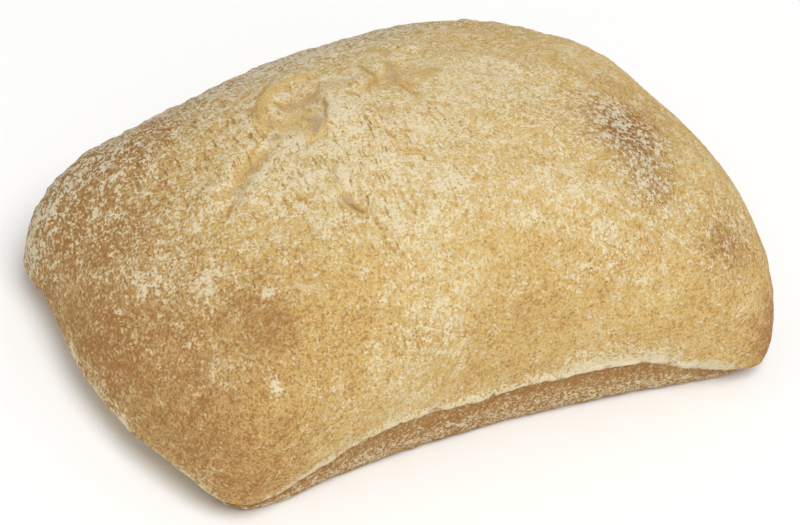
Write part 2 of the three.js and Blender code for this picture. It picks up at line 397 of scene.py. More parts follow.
    def normals(self, s: Array, t: Array) -> Array:
        """The plain upper crust's outward normals, from small steps along the square.

        Args:
            s: places along the square.
            t: places across it.

        Returns:
            Unit vectors.
        """
        step = 1e-3
        s, t = np.clip(s, step - 1, 1 - step), np.clip(t, step - 1, 1 - step)
        along = self.upper_crust(s + step, t).points - self.upper_crust(s - step, t).points
        across = self.upper_crust(s, t + step).points - self.upper_crust(s, t - step).points
        normal = np.cross(along, across)
        return normal / np.linalg.norm(normal, axis=-1, keepdims=True)

    def band(self, lip: CrustPoints, depth: float) -> Array:
        """One ring of the band of lower crust under the lip.

        Args:
            lip: the upper crust's points at the lip.
            depth: 0 at the band's root under the lip, 1 at the edge of the base.

        Returns:
            The ring's points.
        """
        _, corner_share = self.outlook(lip.unit_x, lip.unit_y)
        inset = mix(self.band_inset_middle, self.band_inset_corner, corner_share) + self.band_slope * lip.lip
        turn = depth * math.pi / 2
        reach = lip.reach - (self.lip_overhang + inset * (1 - math.cos(turn))) / self.half_length
        top = np.maximum(lip.lip - self.lip_thickness, lip.lip / 2)
        return self.settle(lip.unit_x * reach, lip.unit_y * reach, top * (1 - math.sin(turn)))


# ---- Marks of the crust ----


@dataclass(frozen=True)
class RoundMark:
    """A hollow or a bubble: its place in plan, half-widths, turn against +X in degrees, and rise."""

    x: float
    y: float
    along: float
    across: float
    turn: float
    rise: float

    def shape(self, x: Array, y: Array) -> Array:
        """How much of the mark there is at each place.

        Args:
            x: places along the loaf.
            y: places across it.

        Returns:
            A number from 0 to 1 for each place.
        """
        turn = math.radians(self.turn)
        along = ((x - self.x) * math.cos(turn) + (y - self.y) * math.sin(turn)) / self.along
        across = ((y - self.y) * math.cos(turn) - (x - self.x) * math.sin(turn)) / self.across
        return np.exp(-(along**2 + across**2))


@dataclass(frozen=True)
class LongMark:
    """A rim, step, fold or crease from one place past a bend to another, with a half-width on each side."""

    start: Place
    bend: Place
    end: Place
    left: float
    right: float
    rise: float
    steps: int = 24
    taper: float = 0.2

    def run(self) -> Array:
        """The places that the mark runs through.

        Returns:
            Rows of X and Y, from its start to its end.
        """
        share = np.linspace(0, 1, self.steps + 1)[:, None]
        start, bend, end = (np.array(p, float) for p in (self.start, self.bend, self.end))
        return (1 - share) ** 2 * start + 2 * share * (1 - share) * bend + share**2 * end

    def shape(self, x: Array, y: Array) -> Array:
        """How much of the mark there is at each place.

        Args:
            x: places along the loaf.
            y: places across it.

        Returns:
            A number from 0 to 1 for each place.
        """
        run = self.run()
        gap = np.full(x.shape, np.inf)
        side = np.ones(x.shape)
        share = np.zeros(x.shape)
        for index, (here, there) in enumerate(zip(run[:-1], run[1:])):
            piece = there - here
            along = ((x - here[0]) * piece[0] + (y - here[1]) * piece[1]) / (piece @ piece)
            along = np.clip(along, 0, 1)
            off_x, off_y = x - here[0] - along * piece[0], y - here[1] - along * piece[1]
            distance = np.hypot(off_x, off_y)
            nearer = distance < gap
            gap = np.where(nearer, distance, gap)
            side = np.where(nearer, piece[0] * off_y - piece[1] * off_x, side)
            share = np.where(nearer, (index + along) / self.steps, share)
        width = np.where(side > 0, self.left, self.right)
        return smooth(np.minimum(share, 1 - share) / self.taper) * np.exp(-((gap / width) ** 2))


@dataclass(frozen=True)
class Wave:
    """A wave over the plan: how far it shifts, its rates along X and Y in radians a millimetre, its phase."""

    shift: float
    rate_x: float
    rate_y: float
    phase: float

    def at(self, x: Array, y: Array) -> Array:
        """The wave's shift at each place."""
        return self.shift * np.sin(self.rate_x * x + self.rate_y * y + self.phase)


@dataclass(frozen=True)
class TornLip:
    """The torn edge of the upper crust: a ragged roll of crust with small tears above it.

    Each entry of ragged is a size of lump along the edge and how far it moves the edge up and down.
    """

    opens_from: float = 4.5
    opens_full: float = 7.5
    roll_rise: float = 0.45
    roll_from: float = 0.93
    roll_full: float = 0.955
    roll_lumps: float = 3.0
    roll_even: float = 0.45
    roll_uneven: float = 1.1
    ragged: tuple[tuple[float, float], ...] = ((7.0, 0.3), (2.4, 0.35), (1.1, 0.25))
    notch_spacing: float = 4.2
    notch_from: float = 0.35
    notch_full: float = 0.55
    notch_depth: float = 0.9
    tear_spacing: float = 1.5
    tear_from: float = 0.05
    tear_full: float = 0.45
    tear_depth: float = 0.5
    tears_start: float = 0.84
    upright: Triple = (1.0, 1.0, 0.2)

    def openness(self, lip: Array) -> Array:
        """How open the lip stands where it has that height."""
        return ease_in(lip, self.opens_from, self.opens_full)

    def shift(self, points: Array, lip: Array) -> Array:
        """How far the edge of the lip wanders up and down.

        Args:
            points: places near the lip, in millimetres.
            lip: the lip's height there.

        Returns:
            The shift in height.
        """
        level = points * self.upright
        shift = sum(rise * crumpled_noise(level, size, Seed.RAGGED) for size, rise in self.ragged)
        notches = lattice_noise(level, self.notch_spacing, Seed.NOTCHES)
        notches = ease_in(notches, self.notch_from, self.notch_full)
        return self.openness(lip) * (shift + self.notch_depth * notches)

    def height(self, points: Array, ring: Array, lip: Array) -> Array:
        """The roll and the tears, along the crust's normal.

        Args:
            points: places on the upper crust.
            ring: the share of the way to the lip.
            lip: the lip's height.

        Returns:
            The relief in millimetres.
        """
        level = points * self.upright
        lumps = self.roll_uneven * crumpled_noise(level, self.roll_lumps, Seed.ROLL)
        roll = ease_in(ring, self.roll_from, self.roll_full) * np.maximum(0, self.roll_even + lumps)
        tears = crumpled_noise(level, self.tear_spacing, Seed.TEARS, 2)
        tears = ease_in(tears, self.tear_from, self.tear_full) * ease_in(ring, self.tears_start, 1)
        return self.openness(lip) * (self.roll_rise * roll - self.tear_depth * tears)


@dataclass
class CrustRelief:
    """Everything that stands out of the plain form or is sunk into it, in millimetres."""

    burst_floor: RoundMark = RoundMark(-13.6, 17.2, 7.2, 3.6, 40, -1.7)
    second_floor: RoundMark = RoundMark(9.5, 16.8, 6, 3.2, 18, -1.3)
    dent: RoundMark = RoundMark(-2.2, 5.4, 3, 1.6, -45, -0.5)
    pock: RoundMark = RoundMark(-19, -9.6, 2.7, 1.6, -60, -1.5)
    bubble: RoundMark = RoundMark(-18, -4, 4, 2.6, -75, 0.6)
    blisters: tuple[RoundMark, ...] = (
        RoundMark(35.4, -10.2, 6.5, 5, 60, 0.55),
        RoundMark(31.8, -26.5, 4.5, 3.6, 60, 0.5),
        RoundMark(40.3, -37.5, 5, 4, 40, 0.4),
        RoundMark(-43.2, -17.8, 8, 5, 60, 0.5),
    )
    burst_rim: LongMark = LongMark((-22, 13.4), (-14.5, 30.5), (-1.4, 24.5), 3, 1.2, 1)
    burst_step: LongMark = LongMark((-4.5, 21.5), (-8, 12.5), (-15.9, 6), 5, 1, 0.8)
    crease: LongMark = LongMark((-21, 12.4), (-31.5, 8.5), (-37.1, 1.5), 1.4, 1.4, -0.7)
    fold_behind: LongMark = LongMark((-24, 14.5), (-33, 11.5), (-39, 3.5), 1.3, 2.8, 0.7)
    fold_before: LongMark = LongMark((-20.5, 9), (-29.5, 6), (-34.5, 1.2), 2.8, 1.3, 0.5)
    second_rim: LongMark = LongMark((-3.4, 12.8), (5.5, 16.5), (11.8, 28.4), 3, 1.2, 1)
    second_back_rim: LongMark = LongMark((11.8, 28.4), (20.5, 20), (17, 14.5), 2.6, 1.3, 0.7)
    crack: LongMark = LongMark((-18.8, -12.6), (-18.4, -17), (-19.2, -20.3), 0.8, 0.8, -0.4)
    shoulder: LongMark = LongMark((19, 19), (28, 12), (34, 1), 2.6, 2.6, 0.5)
    wander_x: tuple[Wave, ...] = (Wave(0.4, 0.55, 0.31, 0.7), Wave(0.2, -0.62, 1.1, 2.1))
    wander_y: tuple[Wave, ...] = (Wave(0.4, -0.27, 0.58, 4.2), Wave(0.2, 1.1, 0.71, 5.3))
    marks_fade_from: float = 0.9
    swell_count: int = 12
    swell_longest: float = 38.0
    swell_shortest: float = 9.0
    swell_steepness: float = 0.0042
    swell_first_level: float = 0.3
    swell_phase_step: float = 2.3
    swells_fade_from: float = 0.55
    lip: TornLip = TornLip()
    lump_size: float = 3.4
    lump_rise: float = 0.2
    grit_size: float = 1.4
    grit_rise: float = 0.14
    back_from: float = 16.0
    back_full: float = 34.0
    back_coarser: float = 1.0
    back_lump_size: float = 1.9
    back_lump_rise: float = 0.22

    def wander(self, points: Array) -> tuple[Array, Array]:
        """The plan of the points, shifted a little so that the marks look torn.

        Args:
            points: places in millimetres.

        Returns:
            The shifted X and Y.
        """
        x, y = points[..., 0], points[..., 1]
        shift_x, shift_y = (sum(wave.at(x, y) for wave in waves) for waves in (self.wander_x, self.wander_y))
        return x + shift_x, y + shift_y

    def marks(self) -> list[RoundMark | LongMark]:
        """Every hollow and bubble, then every rim, step, fold and crease.

        Returns:
            The marks.
        """
        hollows = [self.burst_floor, self.second_floor, self.dent, self.pock, self.bubble, *self.blisters]
        rims = [self.burst_rim, self.burst_step, self.second_rim, self.second_back_rim]
        folds = [self.crease, self.fold_behind, self.fold_before, self.crack, self.shoulder]
        return [*hollows, *rims, *folds]

    def swells(self, points: Array) -> Array:
        """Broad unevenness: waves through space that point all ways.

        Args:
            points: places in millimetres.

        Returns:
            The height of the waves there.
        """
        total = np.zeros(points.shape[:-1])
        for index in range(self.swell_count):
            share = index / (self.swell_count - 1)
            wavelength = self.swell_longest * (self.swell_shortest / self.swell_longest) ** share
            upwards = (index * 2 * GOLDEN_SHARE + self.swell_first_level) % 2 - 1
            level = math.sqrt(1 - upwards**2)
            heading = index * GOLDEN_TURN
            rate = np.array([level * math.cos(heading), level * math.sin(heading), upwards])
            phase = points @ (rate * 2 * math.pi / wavelength) + index * self.swell_phase_step
            total += self.swell_steepness * wavelength * np.sin(phase)
        return total

    def height(self, points: Array, ring: Array, lip: Array) -> Array:
        """The relief along the crust's normal.

        Args:
            points: places on the plain upper crust.
            ring: the share of the way from the crown to the lip.
            lip: the lip's height.

        Returns:
            The relief in millimetres.
        """
        x, y = self.wander(points)
        marks = sum(mark.rise * mark.shape(x, y) for mark in self.marks())
        marks = marks * ease_in(ring, 1, self.marks_fade_from)
        swells = self.swells(points) * ease_in(ring, 1, self.swells_fade_from)
        grit = self.grit(points) + self.back_grit(points)
        return marks + swells + grit + self.lip.height(points, ring, lip)

    def back_grit(self, points: Array) -> Array:
        """The coarser lumps of the slope at the back.

        Args:
            points: places in millimetres.

        Returns:
            The height of the lumps there.
        """
        share = ease_in(points[..., 1], self.back_from, self.back_full)
        lumps = self.back_lump_rise * crumpled_noise(points, self.back_lump_size, Seed.BACK, 2)
        return share * (lumps + self.back_coarser * self.grit(points))

    def grit(self, points: Array) -> Array:
        """Small lumps of crust and flour, the same on the upper and the lower crust."""
        lumps = self.lump_rise * crumpled_noise(points, self.lump_size, Seed.LUMPS)
        return lumps + self.grit_rise * crumpled_noise(points, self.grit_size, Seed.GRIT, 2)


# ---- Where the crust is browned, floured and torn, and where shade is painted on it ----


class CrustState(Enum):
    """What the mesh says about each place of the crust, for its finish."""

    TONE = "tone"
    FLOUR = "flour"
    GILDED = "gilded"
    CREAM = "cream"
    # partly greyish tan crumb, partly painted shade in the hollows
    GREY = "grey"
    # brown torn crust, partly painted shade on steep walls, in the pock and in its cracks
    EDGE = "edge"
    WRINKLED = "wrinkled"
    LIP = "lip"
    ROUGH = "rough"
    BAND = "band"


@dataclass(frozen=True)
class Patch:
    """A soft-edged patch: its middle and its reach along X, Y and Z, and how strong it is."""

    x: float
    y: float
    z: float
    reach_x: float
    reach_y: float
    reach_z: float
    amount: float

    def cover(self, points: Array) -> Array:
        """How much of the patch there is at each point.

        Args:
            points: places in millimetres.

        Returns:
            Its strength there, most in the middle.
        """
        middle = np.array([self.x, self.y, self.z])
        reach = np.array([self.reach_x, self.reach_y, self.reach_z])
        return self.amount * np.exp(-np.sum(((points - middle) / reach) ** 2, axis=-1))


def stroke(start: Place, bend: Place, end: Place, width: float, strength: float) -> LongMark:
    """A stain of even half-width along a bent line."""
    return LongMark(start, bend, end, width, width, strength)


@dataclass
class BurstStains:
    """The stretched dough inside the bursts: smooth gold rims, greyish tan spots that are partly painted
    shade in the hollows, brown rims that are partly painted shade on steep walls, dark painted shade in the
    pock and its cracks, and cream.
    """

    gilded: tuple[LongMark, ...] = (
        LongMark((-22, 13.4), (-14.5, 30.5), (-1.4, 24.5), 0.9, 1.1, 1.0),
        stroke((-18.8, 14.6), (-14.8, 14.2), (-10.2, 15.8), 2.7, 1.0),
        stroke((-14.2, 13), (-15.2, 9.8), (-17.4, 5.4), 1.7, 0.95),
        stroke((9.8, 27.6), (11.2, 25), (10.6, 22), 1.6, 0.9),
        stroke((2.6, 14.5), (5.5, 12), (14, 13.2), 1.6, 0.8),
        stroke((-22, 11.6), (-28, 9.8), (-35.5, 5.2), 1.4, 0.6),
    )
    cream: tuple[LongMark, ...] = (
        stroke((-16.6, 20.6), (-15, 20.2), (-13.8, 18.8), 1.1, 1.0),
        stroke((-21, 10.4), (-18.8, 8.8), (-17.2, 8.4), 1.6, 0.9),
        LongMark((-5.6, 18.4), (-8.2, 11.6), (-14, 3.6), 0.3, 2.8, 0.35),
        stroke((6.6, 14), (7.7, 13.5), (9, 12.4), 1.3, 0.9),
        stroke((-16.6, -2), (-18.2, -4.2), (-19.3, -6.2), 1.4, 1.0),
    )
    # Greyish tan spots: partly crumb colour, partly painted shade in the sunk burst hollows, on the shaded
    # side of the step, along the crease, in the dent and in the pock.
    grey: tuple[LongMark, ...] = (
        stroke((-17.5, 19), (-18.2, 16.8), (-19.1, 15), 0.8, 0.9),
        stroke((-19.1, 14), (-19.8, 13), (-20.8, 11.6), 0.7, 0.9),
        stroke((-14.8, 20.8), (-11.4, 18.4), (-6.8, 18.6), 1.1, 1.0),
        stroke((-9.8, 18), (-8.9, 17), (-8.7, 15.6), 0.9, 0.8),
        stroke((-12.2, 13.6), (-13.8, 10.6), (-15.8, 7.2), 0.95, 0.95),
        stroke((-24, 10.9), (-29, 9), (-35, 5), 0.6, 0.6),
        stroke((10, 21.2), (7.2, 16.6), (3.6, 11.6), 1.2, 0.8),
        stroke((-4.2, 6.9), (-2.4, 6), (-0.6, 5), 0.8, 0.7),
        stroke((-0.4, 4.6), (0.4, 4.2), (1.4, 3.8), 0.6, 0.5),
        LongMark((-19.6, -6.4), (-20.2, -9.6), (-18.2, -11.6), 0.9, 1.6, 1.0),
        stroke((-17.4, -0.4), (-20.4, -2.6), (-19.8, -6), 0.4, 0.6),
        stroke((-15.4, -1), (-16, -3.4), (-18.4, -6.4), 0.4, 0.5),
    )
    # Brown lines on the burst rims and steps: partly baked crust, partly painted shade on the steep walls;
    # the strongest, in the pock and the crack, are painted shade.
    edges: tuple[LongMark, ...] = (
        stroke((-6.8, 18), (-10.8, 11.6), (-17.6, 2.4), 0.34, 0.85),
        stroke((-2.2, 12.4), (0.4, 14.2), (3.2, 14.9), 0.7, 0.8),
        stroke((3.6, 22.4), (2.4, 18.4), (2.2, 14), 0.5, 0.9),
        stroke((4.4, 12.6), (4.6, 9.6), (4.4, 6.4), 0.4, 0.9),
        stroke((-5, 14.8), (-4.6, 13), (-3.4, 11.4), 0.5, 0.8),
        stroke((-21, 15.6), (-18, 25.5), (-8.6, 28.2), 0.45, 0.8),
        stroke((-13.8, 21.6), (-13.6, 20.8), (-13.2, 20.4), 0.5, 1.0),
        stroke((-17.3, 19.3), (-17.5, 18.9), (-17.8, 18.5), 0.5, 1.0),
        stroke((-22.4, 13.4), (-24.2, 12.6), (-26.4, 11.8), 0.5, 0.7),
        stroke((-19.4, 23.6), (-18.6, 21.8), (-18.9, 20), 0.6, 0.7),
        stroke((-34.4, 4.4), (-36, 3.2), (-37.4, 1.4), 0.34, 1.3),
        LongMark((-20.1, -8.2), (-20.5, -10), (-18.9, -12), 0.9, 0.8, 1.3),
        stroke((12, 14.6), (13.1, 12.9), (14.4, 11.6), 1.2, 0.6),
        stroke((5, 11.2), (6.4, 10.2), (8.2, 9.6), 1.0, 0.5),
    )
    # tiny cracks below the pock, each darkened with painted shade
    cracks: tuple[Place, ...] = (
        (-19.6, -12.9), (-18.4, -13.8), (-18.7, -14.6), (-18.7, -15.7), (-19.0, -17.3),
        (-19.4, -18.5), (-19.4, -19.6), (-19.1, -20.3), (-18.2, -21.5),
    )
    crack_size: float = 0.42
    crack_shade: float = 1.4
    ragged_size: float = 1.5
    ragged_by: float = 0.45

    def frayed(self, points: Array) -> tuple[Array, Array]:
        """The plan of the points, shifted a little at random so that the stains fray.

        Args:
            points: places in millimetres.

        Returns:
            The shifted X and Y.
        """
        seeds = (Seed.FRAYED_X, Seed.FRAYED_Y)
        shift_x, shift_y = (self.ragged_by * crumpled_noise(points, self.ragged_size, seed) for seed in seeds)
        return points[..., 0] + shift_x, points[..., 1] + shift_y

    def cover(self, stains: tuple[LongMark, ...], x: Array, y: Array) -> Array:
        """How strongly any of the stains covers each place."""
        return np.max([stain.rise * stain.shape(x, y) for stain in stains], axis=0)

    def crack_shade_dots(self, x: Array, y: Array) -> Array:
        """The row of tiny cracks below the pock, darkened with painted shade."""
        gaps = np.min([np.hypot(x - dot_x, y - dot_y) for dot_x, dot_y in self.cracks], axis=0)
        return self.crack_shade * np.exp(-((gaps / self.crack_size) ** 2))


@dataclass
class CrustColouring:
    """How the oven and the flour left each place of the crust, with painted shade and painted light on its
    left side.
    """

    bare_tone: float = 0.62
    tones: tuple[Patch, ...] = (
        # The first patch darkens the whole left side: partly browner crust, partly painted shade on the side
        # turned from the light. The third is painted light, a lighter colour that offsets shade near the
        # lower left edge.
        Patch(-66, -5, 15, 24, 60, 30, -0.4),
        Patch(-50, -36, 12, 22, 12, 22, -0.04),
        Patch(-62, -14, 13, 9, 16, 10, 0.1),
        Patch(-50, 5, 26, 12, 26, 12, -0.04),
        Patch(-43, -19, 31, 6, 7, 8, -0.2),
        Patch(-48, 17, 24, 8, 8, 8, -0.12),
        Patch(0, 46, 22, 80, 16, 30, -0.3),
        Patch(-45, 36, 20, 22, 16, 20, -0.12),
        Patch(-40, 28, 29, 9, 8, 7, -0.14),
        Patch(45, -4, 35, 9, 10, 9, -0.14),
        Patch(41, -14, 37, 5, 6, 6, -0.16),
        Patch(35.3, -13, 39, 6.5, 7.5, 8, -0.46),
        Patch(31.8, -26.5, 36, 4.5, 4.5, 6, -0.26),
        Patch(40.3, -37.5, 28, 5, 4.5, 6, -0.26),
        Patch(46, -34, 28.5, 6, 6, 7, -0.18),
        Patch(54, -44, 4, 7, 7, 9, -0.35),
        Patch(50, -44, 14, 7, 9, 10, -0.3),
        Patch(0, -46, 4, 70, 12, 16, -0.08),
        Patch(-44, -12, 32, 5, 5, 6, -0.1),
        Patch(4, -35, 24, 26, 9, 11, -0.08),
        Patch(-33, -24, 33, 9, 8, 8, -0.08),
        Patch(-6, 4, 42, 22, 20, 30, 0.06),
    )
    bare_flour: float = 0.16
    flours: tuple[Patch, ...] = (
        Patch(-8, 5, 42, 22, 20, 30, 0.36),
        Patch(22, -20, 38, 16, 20, 20, 0.2),
        Patch(-17, -30, 32, 6, 8, 8, 0.24),
        Patch(-20, -33, 27, 7, 5, 8, 0.2),
        Patch(18, -33, 33, 8, 6, 8, 0.2),
        Patch(-20, -12, 40, 5, 5, 6, 0.15),
        Patch(20, -41, 12, 10, 5, 5, 0.4),
        Patch(22, -4, 41, 6, 6, 6, 0.2),
        Patch(-33, 6, 36, 4, 5, 6, 0.2),
        Patch(2, -32, 28, 30, 9, 12, -0.12),
        Patch(-32, -24, 33, 9, 7, 8, -0.14),
        Patch(0, 44, 22, 80, 18, 30, 0.46),
        Patch(4, 36, 29, 26, 8, 10, 0.12),
        Patch(-50, 10, 25, 14, 30, 16, 0.22),
        Patch(-55, -8, 22, 6, 8, 8, -0.08),
        Patch(-46, 31, 25, 11, 9, 9, -0.16),
        Patch(19, 9, 41, 8, 5, 8, 0.2),
        Patch(12, 23, 37, 7, 6, 7, 0.25),
        Patch(-61.5, -3, 7, 5, 12, 4, 0.5),
        Patch(-60, -27, 9, 6, 7, 6, 0.55),
        Patch(-56, 32, 13, 6, 6, 6, 0.3),
        Patch(0, -46, 4, 80, 14, 18, -0.2),
        Patch(-62, -30, 14, 16, 22, 14, -0.4),
        Patch(-43, -19, 31, 6, 7, 8, -0.35),
        Patch(-48, 17, 24, 7, 7, 8, -0.15),
        Patch(-58, 12, 17, 10, 12, 8, -0.2),
        Patch(-50, -27, 20, 10, 8, 10, -0.14),
        Patch(-25, 1, 38, 6, 7, 8, 0.3),
        Patch(-31, 8, 37, 5, 5, 6, 0.25),
        Patch(25, 7, 39, 9, 9, 8, 0.3),
        Patch(-15, -17, 40, 6, 7, 6, 0.22),
        Patch(16, -41, 13, 14, 6, 5, 0.36),
        Patch(12, -38, 21, 16, 6, 7, -0.22),
        Patch(27, -42, 17, 8, 5, 7, -0.1),
        Patch(45, -34, 29, 6, 6, 7, 0.14),
        Patch(50, -33, 27, 4, 5, 5, 0.25),
        Patch(-6, -28, 36, 5, 5, 5, -0.2),
        Patch(37, -12, 38, 6, 8, 8, 0.3),
        Patch(33, -26, 37, 4, 4, 6, 0.3),
    )
    clusters: tuple[Patch, ...] = (
        Patch(-50, 1, 28, 3.2, 3, 4, 0.18),
        Patch(-46, -6, 31, 2.6, 3, 4, 0.22),
        Patch(-48.7, 18.5, 26, 4, 4, 5, 0.12),
        Patch(-41, 8, 32.5, 3, 3, 4, 0.18),
        Patch(-51.5, -20, 25, 3, 3.4, 4, 0.34),
        Patch(-39.9, -14.7, 33.5, 1.6, 1.6, 3, 0.6),
        Patch(-46, -27.3, 25.7, 1.3, 1.3, 2, 0.9),
        Patch(-55.4, 13, 20.5, 3, 3, 4, 0.2),
        Patch(-9.5, 9, 41, 2.6, 4, 4, 0.45),
        Patch(-11.5, -4.5, 42.5, 3, 3, 4, 0.3),
        Patch(-3.9, -14.3, 42.7, 2.4, 2, 4, 0.45),
        Patch(-9, -18.3, 41.3, 2, 2, 4, 0.45),
        Patch(16.4, -23.8, 40, 1.6, 1.6, 3, 0.55),
        Patch(6.6, -25.2, 39.5, 1.3, 1.3, 3, 0.5),
        Patch(23.3, -38.2, 28.2, 1.4, 1.4, 2, 0.5),
    )
    roughs: tuple[Patch, ...] = (
        Patch(-50, 10, 24, 20, 40, 24, 0.35),
        Patch(-38, 32, 26, 20, 14, 16, 0.35),
        Patch(0, 48, 20, 80, 18, 30, 1.6),
        Patch(0, -46, 6, 70, 14, 16, -0.25),
        Patch(34, -18, 38, 7, 12, 10, 1.2),
        Patch(40.3, -37.5, 28, 6, 5, 6, 0.5),
    )
    wrinkles: tuple[Patch, ...] = (
        Patch(-12, 0, 40, 22, 24, 20, 0.9),
        Patch(-28, 22, 34, 16, 12, 16, 0.9),
        Patch(-26, -32, 26, 10, 6, 12, 0.5),
    )
    band_tone: float = 0.25
    band_flour: float = 0.02
    band_dusting: float = 0.38
    dusting_from: float = 0.08
    dusting_full: float = 0.33
    band_foot: float = 0.4
    foot_from: float = 0.6
    foot_full: float = 0.9
    band_rough: float = 1.5
    lip_tall: float = 1.8
    lip_tall_where_low: float = 2.6
    lip_low: float = 6.0
    lip_high: float = 9.0
    lip_soft: float = 2.0
    lip_opens_from: float = 3.0
    lip_opens_full: float = 5.0
    lip_ring: float = 0.78
    lip_dust: float = 0.46
    lip_dust_tall: float = 3.6
    lip_dust_soft: float = 3.0

    def on_band(self, depth: Array) -> Array:
        """How much flour lies on the band at a depth, which is 0 at the lip and 1 at the base."""
        dusting = self.band_dusting * ease_in(depth, self.dusting_from, self.dusting_full)
        return self.band_flour + dusting - self.band_foot * ease_in(depth, self.foot_from, self.foot_full)

    def above_lip(self, crust: CrustPoints, tall: Array | float, soft: float) -> Array:
        """How much each point of the upper crust lies low above an open lip.

        Args:
            crust: the upper crust's points.
            tall: the height above the lip at which it ends.
            soft: the height over which it fades below that.

        Returns:
            A number from 0 to 1 for each point.
        """
        above = crust.points[:, 2] - crust.lip
        opened = ease_in(crust.lip, self.lip_opens_from, self.lip_opens_full)
        return ease_in(above, tall, tall - soft) * opened * (crust.ring > self.lip_ring)

    def on_lip(self, crust: CrustPoints) -> Array:
        """How much each point of the upper crust belongs to the pale lip.

        Args:
            crust: the upper crust's points.

        Returns:
            A number from 0 to 1 for each point.
        """
        high = ease_in(crust.lip, self.lip_low, self.lip_high)
        tall = mix(self.lip_tall_where_low, self.lip_tall, high)
        return self.above_lip(crust, tall, self.lip_soft)

    def amount(self, base: float, patches: tuple[Patch, ...], points: Array) -> Array:
        """A base amount with patches added to it."""
        return base + sum(patch.cover(points) for patch in patches)


# ---- The loaf's mesh ----


